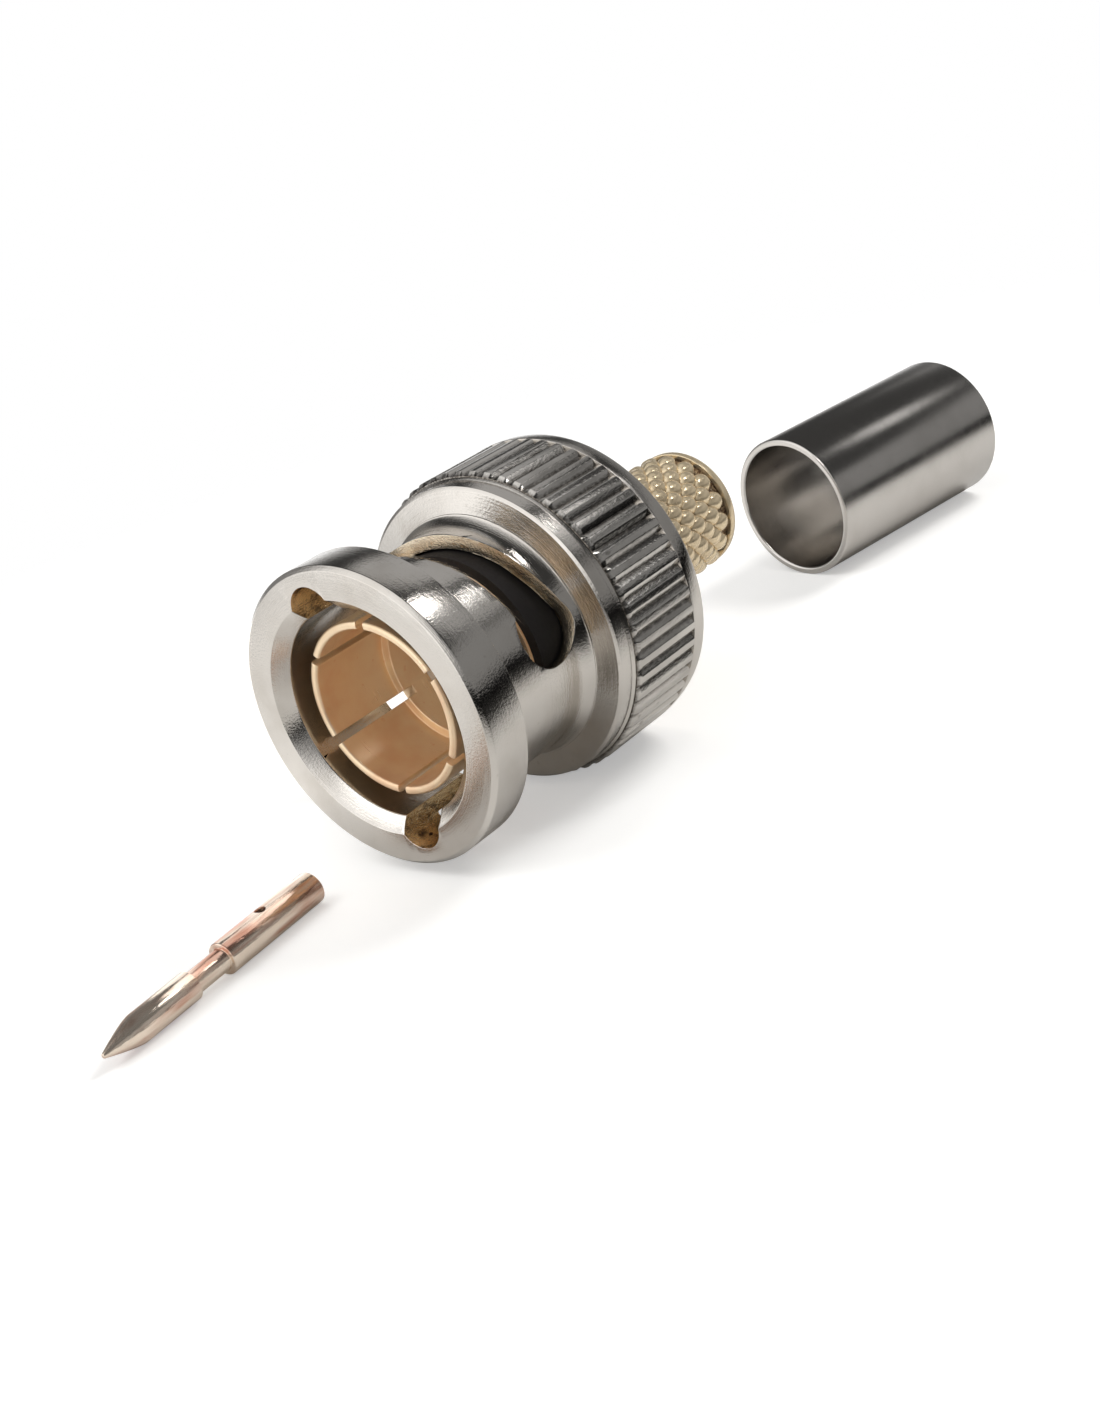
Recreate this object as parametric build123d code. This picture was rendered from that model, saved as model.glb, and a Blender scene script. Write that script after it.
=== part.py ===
from build123d import *
import os
from math import cos, pi, radians, sin

# A bayonet coaxial plug with its loose centre pin and crimp ferrule. Sizes are in millimetres.
# The plug's axis is Y. Its mating face is at y = 0 and its cable end points to +Y, with +Z up.
# Turned pieces are drawn on the local Z axis, with z = 0 at the mating face, and then laid along Y.
# Angles round the axis start at the top and grow towards +X.

# Clearances
running_clearance = 0.06
seat_gap = 0.02
press_gap = 0.01
ring_gap = 0.05

# Coupling nut
nut_bore_radius = 4.93
barrel_wall = 0.67
mouth_bevel = 0.61
flange_wall = 0.8
flange_length = 2.2
flange_bevel = 0.2
barrel_length = 5.4
barrel_fillet_length = 0.85
barrel_fillet_height = 0.38
collar_face_length = 0.17
collar_face_height = 1.08
collar_bevel_length = 0.09
collar_bevel_height = 0.15
collar_length = 0.71
knurl_cone_length = 0.13
knurl_foot_drop = 0.04
knurl_length = 4.3
knurl_tip_radius = 7.55
knurl_tooth_height = 0.18
knurl_tooth_pitch = 0.862
knurl_tip_share = 0.35
knurl_root_share = 0.04
knurl_core_depth = 0.3
knurl_first_angle = 4.57
rim_length = 1.15
rim_end_drop = 0.12
rim_end_bevel = 0.25
bend_steps = 2
lip_thickness = 1.85
rear_recess_radius = 5.0

# Cam slots and entry grooves of the nut
cam_slot_count = 2
cam_entry_angle = -13.0
cam_turn = 89.0
cam_slot_width = 2.45
cam_slot_start = 5.6
cam_slot_rise = 1.1
cam_seat_radius = 1.62
cam_seat_dip = 0.19
cam_relief_turn = 30.0
groove_radius = 1.22
groove_depth = 1.32

# Outer contact
contact_recess = 1.0
contact_radius = 4.13
contact_wall = 0.4
contact_step_depth = 4.24
contact_step_height = 0.43
contact_base_front = 6.45
contact_base_height = 0.17
finger_count = 6
finger_slot_width = 0.42
finger_slot_length = 4.45
finger_first_angle = 4.5
finger_lip_round = 0.14

# Crimp body
body_flange_front = 8.2
body_flange_length = 1.2
body_flange_clearance = 0.18
contact_seat_depth = 1.15
neck_wall = 0.56
body_shoulder = 14.2
ring_groove_depth = 0.35
stem_length = 10.27
stem_peak_radius = 3.15
stem_knurl_height = 0.32
stem_knurl_width = 1.22
stem_knurl_pitch = 1.3
stem_first_angle = -3.6
stem_plain_end = 0.55
stem_end_radius = 3.07
stem_end_bevel = 0.28
cable_bore_radius = 2.4
insulator_seat_depth = 2.1

# Springs, washers, ring and gasket
wave_height = 0.9
wave_thickness = 0.2
wave_count = 3
wave_steps = 30
washer_side_gap = 0.1
thrust_thickness = 0.5
retaining_thickness = 0.4
retaining_width = 1.05
retaining_opening = 50.0
gasket_length = 1.8
gasket_side_gap = 0.03
gasket_wall = 0.5

# Insulator and centre pin
insulator_front = 6.9
insulator_side_gap = 0.03
pin_tip_length = 1.9
pin_tip_flat = 0.12
pin_front_radius = 0.675
pin_front_length = 5.05
pin_neck_radius = 0.52
pin_neck_length = 1.95
pin_shank_radius = 0.76
pin_length = 12.9
pin_bevel = 0.08
pin_wire_radius = 0.5
pin_wire_depth = 4.3
pin_sight_radius = 0.26
pin_sight_place = 9.75
pin_hole_gap = 0.03

# Crimp ferrule
ferrule_radius = 3.95
ferrule_wall = 0.4
ferrule_length = 13.0
ferrule_bevel = 0.12

# Where the loose pieces lie on the surface below the plug
pin_x = -2.17
pin_y = -15.94
pin_heading = -5.04
ferrule_x = -0.08
ferrule_y = 33.55
ferrule_heading = 10.9

# Places that follow from the sizes above
barrel_radius = nut_bore_radius + barrel_wall
flange_radius = nut_bore_radius + groove_depth + flange_wall
surface_height = -max(knurl_tip_radius, flange_radius)
barrel_end = flange_length + barrel_length
collar_face_start = barrel_end + barrel_fillet_length
collar_front = collar_face_start + collar_face_length
collar_band_front = collar_front + collar_bevel_length
collar_rear = collar_band_front + collar_length
knurl_front = collar_rear + knurl_cone_length
knurl_rear = knurl_front + knurl_length
nut_length = knurl_rear + rim_length
knurl_root_radius = knurl_tip_radius - knurl_tooth_height
rim_end_radius = knurl_tip_radius - rim_end_drop
contact_rear = body_flange_front + contact_seat_depth
body_flange_radius = nut_bore_radius - body_flange_clearance
body_flange_rear = body_flange_front + body_flange_length
front_wave_place = body_flange_rear + seat_gap
rear_wave_place = front_wave_place + wave_height + seat_gap
thrust_place = rear_wave_place + wave_height + seat_gap
lip_front = thrust_place + thrust_thickness + seat_gap
lip_rear = lip_front + lip_thickness
retaining_place = lip_rear + ring_gap
contact_step_radius = contact_radius - contact_wall - contact_step_height
neck_radius = contact_step_radius + neck_wall
contact_base_radius = contact_radius + contact_base_height
insulator_rear = body_flange_rear + insulator_seat_depth
stem_end = body_shoulder + stem_length


def at_angle(angle):
    return Rot(0, 0, angle)


def laid(shape, x=0, y=0, z=0, heading=0):
    # Lays a piece drawn on local Z along +Y, with local +X up, and turns it about the vertical
    along = (sin(radians(heading)), cos(radians(heading)), 0)
    return Plane(origin=(x, y, z), x_dir=(0, 0, 1), z_dir=along).location * shape


def turned(outline):
    # A turned piece from its closed half section of (radius, place) points
    return revolve(Plane.XZ * make_face(outline), Axis.Z)


def corners(*points):
    return Polyline(*points, close=True)


def bend(radius, start, rise, length):
    # Points of a curve that leaves a cylinder smoothly and rises or falls over a length
    shares = [step / bend_steps for step in range(bend_steps + 1)]
    return [(radius + rise * share**2, start + length * share) for share in shares]


def tube(outer, inner, start, end):
    return turned(corners((inner, start), (outer, start), (outer, end), (inner, end)))


def bevelled_tube(outer, inner, start, end, bevel):
    return turned(
        corners(
            (inner, start),
            (outer - bevel, start),
            (outer, start + bevel),
            (outer, end - bevel),
            (outer - bevel, end),
            (inner, end),
        )
    )


def faceted(faces):
    return Solid(Shell([Face(Wire.make_polygon(points)) for points in faces]))


def ring_point(radius, angle, place):
    return (radius * cos(radians(angle)), radius * sin(radians(angle)), place)


def radial_peg(radius, inner, outer, angle, place):
    # A round cutter that points outwards from the axis
    peg = Cylinder(radius, outer - inner, align=(Align.CENTER, Align.CENTER, Align.MIN))
    return at_angle(angle) * Pos(inner, 0, place) * Rot(0, 90, 0) * peg


def nut_blank():
    mouth_radius = nut_bore_radius + mouth_bevel
    collar_face_foot = barrel_radius + barrel_fillet_height
    collar_face_radius = collar_face_foot + collar_face_height
    collar_radius = collar_face_radius + collar_bevel_height
    knurl_foot_radius = knurl_root_radius - knurl_foot_drop
    core_radius = knurl_root_radius - knurl_core_depth
    bore_radius = neck_radius + running_clearance
    throat = bend(barrel_radius, barrel_end, barrel_fillet_height, barrel_fillet_length)
    rim_fall = rim_end_radius - knurl_tip_radius
    rim = bend(knurl_tip_radius, knurl_rear, rim_fall, nut_length - rim_end_bevel - knurl_rear)
    return turned(
        corners(
            (nut_bore_radius, lip_front),
            (nut_bore_radius, mouth_bevel),
            (mouth_radius, 0),
            (flange_radius - flange_bevel, 0),
            (flange_radius, flange_bevel),
            (flange_radius, flange_length),
            (barrel_radius, flange_length),
            *throat,
            (collar_face_radius, collar_front),
            (collar_radius, collar_band_front),
            (collar_radius, collar_rear),
            (knurl_foot_radius, knurl_front),
            (core_radius, knurl_front),
            (core_radius, knurl_rear),
            *rim,
            (rim_end_radius - rim_end_bevel, nut_length),
            (rear_recess_radius, nut_length),
            (rear_recess_radius, lip_rear),
            (bore_radius, lip_rear),
            (bore_radius, lip_front),
        )
    )


def straight_knurl():
    # A ring of flat-topped teeth with flat flanks
    teeth = round(2 * pi * knurl_tip_radius / knurl_tooth_pitch)
    step = 360 / teeth
    tip = knurl_tip_share * step / 2
    root = (1 - knurl_root_share) * step / 2
    front_outline, rear_outline, faces = [], [], []
    for tooth in range(teeth):
        middle = knurl_first_angle + tooth * step
        section = (
            (knurl_root_radius, middle - root),
            (knurl_tip_radius, middle - tip),
            (knurl_tip_radius, middle + tip),
            (knurl_root_radius, middle + root),
            (knurl_root_radius, middle + step - root),
        )
        front = [ring_point(radius, angle, knurl_front) for radius, angle in section]
        rear = [ring_point(radius, angle, knurl_rear) for radius, angle in section]
        faces += [(front[side], front[side + 1], rear[side + 1], rear[side]) for side in range(4)]
        front_outline += front[:4]
        rear_outline += rear[:4]
    hollow = tube(knurl_root_radius - 2 * knurl_core_depth, 0, knurl_front, knurl_rear)
    return faceted([*faces, front_outline[::-1], rear_outline]) - hollow


def cam_ramp(turn, rise, radius, depth):
    # A square cutter that follows a helix about the axis, from local +X
    path = Helix(rise * 360 / turn, rise, radius)
    section = Plane(origin=path @ 0, z_dir=path % 0, x_dir=(1, 0, 0))
    return sweep(section * Rectangle(depth, cam_slot_width), path, is_frenet=True)


def cam_cutter(turn):
    # One entry groove, the ramp that turns away from it, and the round seat at its end.
    # A second, steeper ramp leads the slot's rear edge into the seat
    entry = cam_entry_angle + turn
    seat_place = cam_slot_start + cam_slot_rise - cam_seat_dip
    relief_turn = cam_turn - cam_relief_turn
    relief_place = cam_slot_start + cam_slot_rise * relief_turn / cam_turn
    relief_rise = seat_place + cam_seat_radius - cam_slot_width / 2 - relief_place
    inner = nut_bore_radius - cam_slot_width / 2
    outer = barrel_radius + barrel_fillet_height
    middle, depth = (inner + outer) / 2, outer - inner
    groove_middle = nut_bore_radius + groove_depth - groove_radius
    groove = Cylinder(groove_radius, cam_slot_start, align=(Align.CENTER, Align.CENTER, Align.MIN))
    ramp = cam_ramp(cam_turn, cam_slot_rise, middle, depth)
    relief = cam_ramp(cam_relief_turn, relief_rise, middle, depth)
    cutter = at_angle(entry) * Pos(groove_middle, 0, 0) * groove
    cutter += radial_peg(cam_slot_width / 2, inner, outer, entry, cam_slot_start)
    cutter += at_angle(entry) * Pos(0, 0, cam_slot_start) * ramp
    cutter += radial_peg(cam_seat_radius, inner, outer, entry + cam_turn, seat_place)
    return cutter + at_angle(entry + relief_turn) * Pos(0, 0, relief_place) * relief


def coupling_nut():
    nut = nut_blank() + straight_knurl()
    for slot in range(cam_slot_count):
        nut -= cam_cutter(slot * 360 / cam_slot_count)
    return nut


def outer_contact():
    # The spring sleeve: one tube with slots, seated in the body's front bore
    bore = contact_radius - contact_wall
    front = contact_recess
    step = front + contact_step_depth
    sleeve = turned(
        corners(
            (bore + finger_lip_round, front),
            (contact_radius - finger_lip_round, front),
            (contact_radius, front + finger_lip_round),
            (contact_radius, contact_base_front),
            (contact_base_radius, contact_base_front),
            (contact_base_radius, contact_rear),
            (contact_step_radius, contact_rear),
            (contact_step_radius, step),
            (bore, step),
            (bore, front + finger_lip_round),
        )
    )
    cutter = Box(
        2 * contact_wall + contact_step_height + 2 * finger_lip_round,
        finger_slot_width,
        finger_slot_length,
        align=(Align.CENTER, Align.CENTER, Align.MIN),
    )
    for finger in range(finger_count):
        angle = finger_first_angle + finger * 360 / finger_count
        sleeve -= at_angle(angle) * Pos(contact_radius, 0, front) * cutter
    return sleeve


def diamond_knurl():
    # Diamonds in staggered rows. Low points lie where the crossed grooves meet
    start, end = body_shoulder, stem_end - stem_plain_end
    low = stem_peak_radius - stem_knurl_height
    around = 2 * round(2 * pi * stem_peak_radius / stem_knurl_width)
    along = round(2 * (end - start) / stem_knurl_pitch)
    row_length = (end - start) / along

    def point(column, row, radius=low):
        angle = stem_first_angle + 360 * (column % around) / around
        return ring_point(radius, angle, start + row_length * row)

    faces = [[point(column, 0) for column in range(around)][::-1]]
    faces += [[point(column, along) for column in range(around)]]
    for row in range(along + 1):
        for column in range(row % 2, around, 2):
            corner = [(column - 1, row), (column, row - 1), (column + 1, row), (column, row + 1)]
            if row in (0, along):
                inward = point(*corner[3 if row == 0 else 1])
                faces += [(point(*corner[side]), point(column, row), inward) for side in (0, 2)]
                continue
            peak = point(column, row, stem_peak_radius)
            for side in range(4):
                faces.append((point(*corner[side]), point(*corner[(side + 1) % 4]), peak))
    return faceted(faces)


def crimp_body():
    front = turned(
        corners(
            (0, body_flange_front),
            (body_flange_radius, body_flange_front),
            (body_flange_radius, body_flange_rear),
            (neck_radius, body_flange_rear),
            (neck_radius, body_shoulder),
            (0, body_shoulder),
        )
    )
    tail = turned(
        corners(
            (0, stem_end - stem_plain_end),
            (stem_end_radius, stem_end - stem_plain_end),
            (stem_end_radius, stem_end - stem_end_bevel),
            (stem_end_radius - stem_end_bevel, stem_end),
            (0, stem_end),
        )
    )
    contact_seat = contact_base_radius + press_gap
    bores = turned(
        corners(
            (0, body_flange_front),
            (contact_seat, body_flange_front),
            (contact_seat, contact_rear),
            (contact_step_radius, contact_rear),
            (contact_step_radius, insulator_rear),
            (cable_bore_radius, insulator_rear),
            (cable_bore_radius, stem_end),
            (0, stem_end),
        )
    )
    groove_end = retaining_place + retaining_thickness + seat_gap
    ring_groove = tube(
        neck_radius + ring_groove_depth,
        neck_radius - ring_groove_depth,
        retaining_place - seat_gap,
        groove_end,
    )
    return front + diamond_knurl() + tail - bores - ring_groove


def insulator():
    radius = contact_step_radius - insulator_side_gap
    neck_end = insulator_front + pin_neck_length - seat_gap
    front_hole = pin_front_radius + pin_hole_gap
    rear_hole = pin_shank_radius + pin_hole_gap
    return turned(
        corners(
            (front_hole, insulator_front),
            (radius, insulator_front),
            (radius, insulator_rear),
            (rear_hole, insulator_rear),
            (rear_hole, neck_end),
            (front_hole, neck_end),
        )
    )


def face_gasket():
    inner = contact_base_radius + gasket_side_gap
    start = body_flange_front - gasket_length
    return tube(inner + gasket_wall, inner, start, body_flange_front)


def wave_washer(start, turn):
    # A flat ring bent into waves, as pairs of triangles
    inner, outer = neck_radius + washer_side_gap, nut_bore_radius - washer_side_gap
    swing = (wave_height - wave_thickness) / 2
    sections = []
    for step in range(wave_steps):
        angle = 360 * step / wave_steps
        low = start + swing + swing * cos(radians(wave_count * (angle - turn)))
        high = low + wave_thickness
        section = ((inner, low), (outer, low), (outer, high), (inner, high))
        sections.append([ring_point(radius, angle, place) for radius, place in section])
    faces = []
    for step in range(wave_steps):
        here, there = sections[step], sections[(step + 1) % wave_steps]
        for side in range(4):
            a, b = here[side], here[(side + 1) % 4]
            c, d = there[(side + 1) % 4], there[side]
            faces += [(a, b, c), (a, c, d)]
    return faceted(faces)


def thrust_washer():
    outer = nut_bore_radius - washer_side_gap
    return tube(outer, neck_radius + running_clearance, thrust_place, thrust_place + thrust_thickness)


def retaining_ring():
    # A split ring sprung into the body's groove
    inner = neck_radius - ring_groove_depth + seat_gap
    ring = tube(inner + retaining_width, inner, retaining_place, retaining_place + retaining_thickness)
    reach = 2 * (inner + retaining_width)
    half = retaining_opening / 2
    gap = make_face(
        Polyline((0, 0), ring_point(reach, -half, 0)[:2], ring_point(reach, half, 0)[:2], close=True)
    )
    return ring - Pos(0, 0, retaining_place) * extrude(gap, retaining_thickness)


def centre_pin():
    neck_start = pin_front_length
    neck_end = neck_start + pin_neck_length
    nose = bend(pin_front_radius, pin_tip_length, pin_tip_flat - pin_front_radius, -pin_tip_length)
    pin = turned(
        corners(
            (0, 0),
            *nose[::-1],
            (pin_front_radius, neck_start),
            (pin_neck_radius, neck_start),
            (pin_neck_radius, neck_end),
            (pin_shank_radius, neck_end),
            (pin_shank_radius, pin_length - pin_bevel),
            (pin_shank_radius - pin_bevel, pin_length),
            (pin_wire_radius, pin_length),
            (pin_wire_radius, pin_length - pin_wire_depth),
            (0, pin_length - pin_wire_depth),
        )
    )
    return pin - radial_peg(pin_sight_radius, 0, pin_shank_radius + pin_bevel, 0, pin_sight_place)


def crimp_ferrule():
    inner = ferrule_radius - ferrule_wall
    return bevelled_tube(ferrule_radius, inner, 0, ferrule_length, ferrule_bevel)


def write(name, shape):
    solid = shape.solid()
    solid.label = name
    export_step(solid, f"parts/{name}.step")


def main():
    os.makedirs("parts", exist_ok=True)
    write("coupling_nut", laid(coupling_nut()))
    write("outer_contact", laid(outer_contact()))
    write("crimp_body", laid(crimp_body()))
    write("insulator", laid(insulator()))
    write("face_gasket", laid(face_gasket()))
    write("wave_washer_front", laid(wave_washer(front_wave_place, 0)))
    write("wave_washer_rear", laid(wave_washer(rear_wave_place, 180 / wave_count)))
    write("thrust_washer", laid(thrust_washer()))
    write("retaining_ring", laid(retaining_ring()))
    pin_rest = surface_height + pin_shank_radius
    write("centre_pin", laid(centre_pin(), pin_x, pin_y, pin_rest, pin_heading))
    ferrule_rest = surface_height + ferrule_radius
    write("crimp_ferrule", laid(crimp_ferrule(), ferrule_x, ferrule_y, ferrule_rest, ferrule_heading))


main()
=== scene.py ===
from math import asin, cos, degrees, pi, radians, sin, sqrt

import bmesh
import bpy
from mathutils import Matrix, Vector


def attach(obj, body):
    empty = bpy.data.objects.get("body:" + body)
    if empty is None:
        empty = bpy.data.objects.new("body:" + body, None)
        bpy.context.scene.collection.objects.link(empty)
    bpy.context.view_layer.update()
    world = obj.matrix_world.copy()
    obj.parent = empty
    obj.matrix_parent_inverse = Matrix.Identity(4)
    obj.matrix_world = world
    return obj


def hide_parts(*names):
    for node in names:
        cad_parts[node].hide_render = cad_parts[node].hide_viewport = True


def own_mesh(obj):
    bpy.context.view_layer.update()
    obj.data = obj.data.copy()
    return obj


# A coaxial bayonet plug with its loose centre pin and crimp ferrule.
# The plug's axis is Y, and angles round it start at the top and grow towards +X.
# Pieces are drawn in millimetres and made metres once they are finished.

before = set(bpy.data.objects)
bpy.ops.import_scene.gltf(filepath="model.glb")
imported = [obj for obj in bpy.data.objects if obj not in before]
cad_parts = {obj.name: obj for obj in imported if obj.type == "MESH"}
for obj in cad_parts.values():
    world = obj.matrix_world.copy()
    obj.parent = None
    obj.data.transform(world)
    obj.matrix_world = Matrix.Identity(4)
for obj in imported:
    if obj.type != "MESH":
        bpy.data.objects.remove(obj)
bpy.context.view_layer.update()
print("frame loaded")

millimetre = 0.001
surfaceHeight = -7.55  # Of the surface below the plug, in millimetres
looseWeld = 0.002  # Distances within which corners of a drawn mesh become one, in millimetres
weld = 0.0005
fineWeld = 0.00001
bumpDistance = 0.00002


# Mesh helpers


def meshObject(name, vertices, faces, material=None):
    mesh = bpy.data.meshes.new(name)
    mesh.from_pydata([tuple(v) for v in vertices], [], faces)
    mesh.validate()
    if material:
        mesh.materials.append(material)
    made = bpy.data.objects.new(name, mesh)
    bpy.context.scene.collection.objects.link(made)
    return made


def outwardFaces(target, merge=weld):
    shape = bmesh.new()
    shape.from_mesh(target.data)
    bmesh.ops.remove_doubles(shape, verts=shape.verts, dist=merge)
    bmesh.ops.recalc_face_normals(shape, faces=shape.faces)
    shape.to_mesh(target.data)
    shape.free()
    return target


def bandFaces(stations, across, looped=True, wrapped=True):
    # Four-sided faces between rows of corners. Looped joins the last row to the first,
    # and wrapped joins the last corner of each row to its first
    faces = []
    for station in range(stations if looped else stations - 1):
        here, there = station * across, (station + 1) % stations * across
        for point in range(across if wrapped else across - 1):
            after = (point + 1) % across
            faces.append((here + point, here + after, there + after, there + point))
    return faces


def roundTube(name, rims, material=None):
    # A closed round body between two rims with the same number of corners
    sides = len(rims[0])
    faces = bandFaces(2, sides, looped=False)
    faces += [tuple(range(sides)), tuple(range(sides, 2 * sides))]
    return outwardFaces(meshObject(name, [*rims[0], *rims[1]], faces, material), fineWeld)


def roundedCorners(points, steps=3):
    # Closed outline of (radius, place, rounding) corners, each corner an arc
    outline = []
    for index, (r, y, rounding) in enumerate(points):
        here = Vector((r, y))
        if not rounding:
            outline.append((r, y))
            continue
        before = (Vector(points[index - 1][:2]) - here).normalized()
        after = (Vector(points[(index + 1) % len(points)][:2]) - here).normalized()
        half = before.angle(after) / 2
        middle = here + (before + after).normalized() * rounding / sin(half)
        start = here + before * rounding / (sin(half) / cos(half)) - middle
        turn = start.angle_signed(here + after * rounding / (sin(half) / cos(half)) - middle)
        for step in range(steps + 1):
            arm = start.copy()
            arm.rotate(Matrix.Rotation(-turn * step / steps, 2))
            outline.append(tuple(middle + arm))
    return outline


def spun(name, outline, segments, material):
    # A turned piece about the Y axis from a closed outline of (radius, place)
    vertices = []
    for segment in range(segments):
        angle = 2 * pi * segment / segments
        vertices += [(r * sin(angle), y, r * cos(angle)) for r, y in outline]
    return outwardFaces(meshObject(name, vertices, bandFaces(segments, len(outline)), material))


def cut(target, cutter):
    boolean = target.modifiers.new("cut", "BOOLEAN")
    boolean.operation, boolean.solver, boolean.object = "DIFFERENCE", "EXACT", cutter
    boolean.material_mode = "TRANSFER"
    plain(target)
    bpy.data.objects.remove(cutter)
    return target


def softened(target, width, limit=40, steps=2):
    bevel = target.modifiers.new("soft edges", "BEVEL")
    bevel.width, bevel.segments = width, steps
    bevel.limit_method, bevel.angle_limit = "ANGLE", radians(limit)
    bevel.use_clamp_overlap = False
    return plain(target)


def plain(target):
    # The evaluated mesh becomes the object's own, and its modifiers go
    bpy.context.view_layer.update()
    evaluated = target.evaluated_get(bpy.context.evaluated_depsgraph_get())
    mesh = bpy.data.meshes.new_from_object(evaluated)
    target.modifiers.clear()
    target.data = mesh
    return target


def joined(name, *pieces):
    # One mesh of several, each face keeping its material
    mesh = bpy.data.meshes.new(name)
    shape = bmesh.new()
    for piece in pieces:
        faceCount, offset = len(shape.faces), len(mesh.materials)
        shape.from_mesh(piece.data)
        shape.faces.ensure_lookup_table()
        for face in shape.faces[faceCount:]:
            face.material_index += offset
        for material in piece.data.materials:
            mesh.materials.append(material)
        bpy.data.objects.remove(piece)
    shape.to_mesh(mesh)
    shape.free()
    made = bpy.data.objects.new(name, mesh)
    bpy.context.scene.collection.objects.link(made)
    return made


def laid(target, piece):
    # Lays a loose piece where its dictionary says
    target.data.transform(
        Matrix.Translation(piece["place"]) @ Matrix.Rotation(-radians(piece["heading"]), 4, "Z")
    )
    return target


def finished(target, body, nodes, sharp=32):
    mesh = target.data
    mesh.transform(Matrix.Scale(millimetre, 4))
    mesh.shade_smooth()
    mesh.set_sharp_from_angle(angle=radians(sharp))
    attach(target, body)
    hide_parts(*nodes)
    print(target.name, "has", len(mesh.polygons), "faces")
    return target


# Geometry node groups for what repeats


def nodeTree(name, kind, inputs, outputs):
    tree = bpy.data.node_groups.new(name, kind)
    for direction, sockets in (("INPUT", inputs), ("OUTPUT", outputs)):
        for label, socket, *value in sockets:
            made = tree.interface.new_socket(name=label, in_out=direction, socket_type=socket)
            if value:
                made.default_value = value[0]
    return tree, tree.nodes.new("NodeGroupInput"), tree.nodes.new("NodeGroupOutput")


def mathNode(tree, operation, *values):
    node = tree.nodes.new("ShaderNodeMath")
    node.operation = operation
    for socket, value in zip(node.inputs, values):
        if isinstance(value, (int, float)):
            socket.default_value = value
        else:
            tree.links.new(value, socket)
    return node.outputs[0]


def copiesTree(name, inputs, placeAndTurn):
    # Copies of the incoming mesh on counted points, joined into one mesh
    tree, entry, end = nodeTree(
        name,
        "GeometryNodeTree",
        [("Geometry", "NodeSocketGeometry"), *inputs],
        [("Geometry", "NodeSocketGeometry")],
    )
    points = tree.nodes.new("GeometryNodePoints")
    copies = tree.nodes.new("GeometryNodeInstanceOnPoints")
    turn = tree.nodes.new("FunctionNodeEulerToRotation")
    merge = tree.nodes.new("GeometryNodeMergeByDistance")
    real = tree.nodes.new("GeometryNodeRealizeInstances")
    paint = tree.nodes.new("GeometryNodeSetMaterial")
    index = tree.nodes.new("GeometryNodeInputIndex").outputs[0]
    count, position, rotation = placeAndTurn(tree, entry.outputs, index)
    merge.inputs["Distance"].default_value = looseWeld
    for source, target in (
        (count, points.inputs["Count"]),
        (position, points.inputs["Position"]),
        (points.outputs[0], copies.inputs["Points"]),
        (entry.outputs["Geometry"], copies.inputs["Instance"]),
        (rotation, turn.inputs[0]),
        (turn.outputs[0], copies.inputs["Rotation"]),
        (copies.outputs[0], real.inputs[0]),
        (real.outputs[0], merge.inputs["Geometry"]),
        (merge.outputs[0], paint.inputs["Geometry"]),
        (entry.outputs["Material"], paint.inputs["Material"]),
        (paint.outputs[0], end.inputs[0]),
    ):
        if source:
            tree.links.new(source, target)
    return tree


def vectorOf(tree, **parts):
    node = tree.nodes.new("ShaderNodeCombineXYZ")
    for axis, value in parts.items():
        tree.links.new(value, node.inputs[axis])
    return node.outputs[0]


def ringPlaces(tree, sockets, index):
    step = mathNode(tree, "DIVIDE", 2 * pi, sockets["Count"])
    angle = mathNode(tree, "MULTIPLY", index, step)
    first = mathNode(tree, "RADIANS", sockets["First Angle"])
    return sockets["Count"], None, vectorOf(tree, Y=mathNode(tree, "ADD", angle, first))


def staggeredPlaces(tree, sockets, index):
    around = sockets["Around"]
    row = mathNode(tree, "FLOOR", mathNode(tree, "DIVIDE", index, around))
    column = mathNode(tree, "MODULO", index, around)
    shift = mathNode(tree, "MULTIPLY", mathNode(tree, "MODULO", row, 2.0), 0.5)
    share = mathNode(tree, "DIVIDE", mathNode(tree, "ADD", column, shift), around)
    angle = mathNode(tree, "MULTIPLY", share, 2 * pi)
    first = mathNode(tree, "RADIANS", sockets["First Angle"])
    place = mathNode(tree, "MULTIPLY", row, sockets["Row Length"])
    count = mathNode(tree, "MULTIPLY", around, sockets["Rows"])
    return count, vectorOf(tree, Y=place), vectorOf(tree, Y=mathNode(tree, "ADD", angle, first))


ringOfCopies = copiesTree(
    "Ring of Copies",
    [
        ("Count", "NodeSocketInt"),
        ("First Angle", "NodeSocketFloat"),
        ("Material", "NodeSocketMaterial"),
    ],
    ringPlaces,
)
staggeredRows = copiesTree(
    "Staggered Rows",
    [
        ("Around", "NodeSocketInt"),
        ("Rows", "NodeSocketInt"),
        ("Row Length", "NodeSocketFloat"),
        ("First Angle", "NodeSocketFloat"),
        ("Material", "NodeSocketMaterial"),
    ],
    staggeredPlaces,
)


def repeated(target, tree, **values):
    modifier = target.modifiers.new(tree.name, "NODES")
    modifier.node_group = tree
    for item in tree.interface.items_tree:
        if item.in_out == "INPUT" and item.name.replace(" ", "") in values:
            modifier[item.identifier] = values[item.name.replace(" ", "")]
    return plain(target)


# Shader node groups shared by the metals


def mixColour(tree, factor, first, second, blend="MIX"):
    node = tree.nodes.new("ShaderNodeMix")
    node.data_type, node.blend_type = "RGBA", blend
    for socket, value in ((node.inputs[0], factor), (node.inputs[6], first), (node.inputs[7], second)):
        if isinstance(value, (int, float, tuple)):
            socket.default_value = value
        else:
            tree.links.new(value, socket)
    return node.outputs[2]


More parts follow.
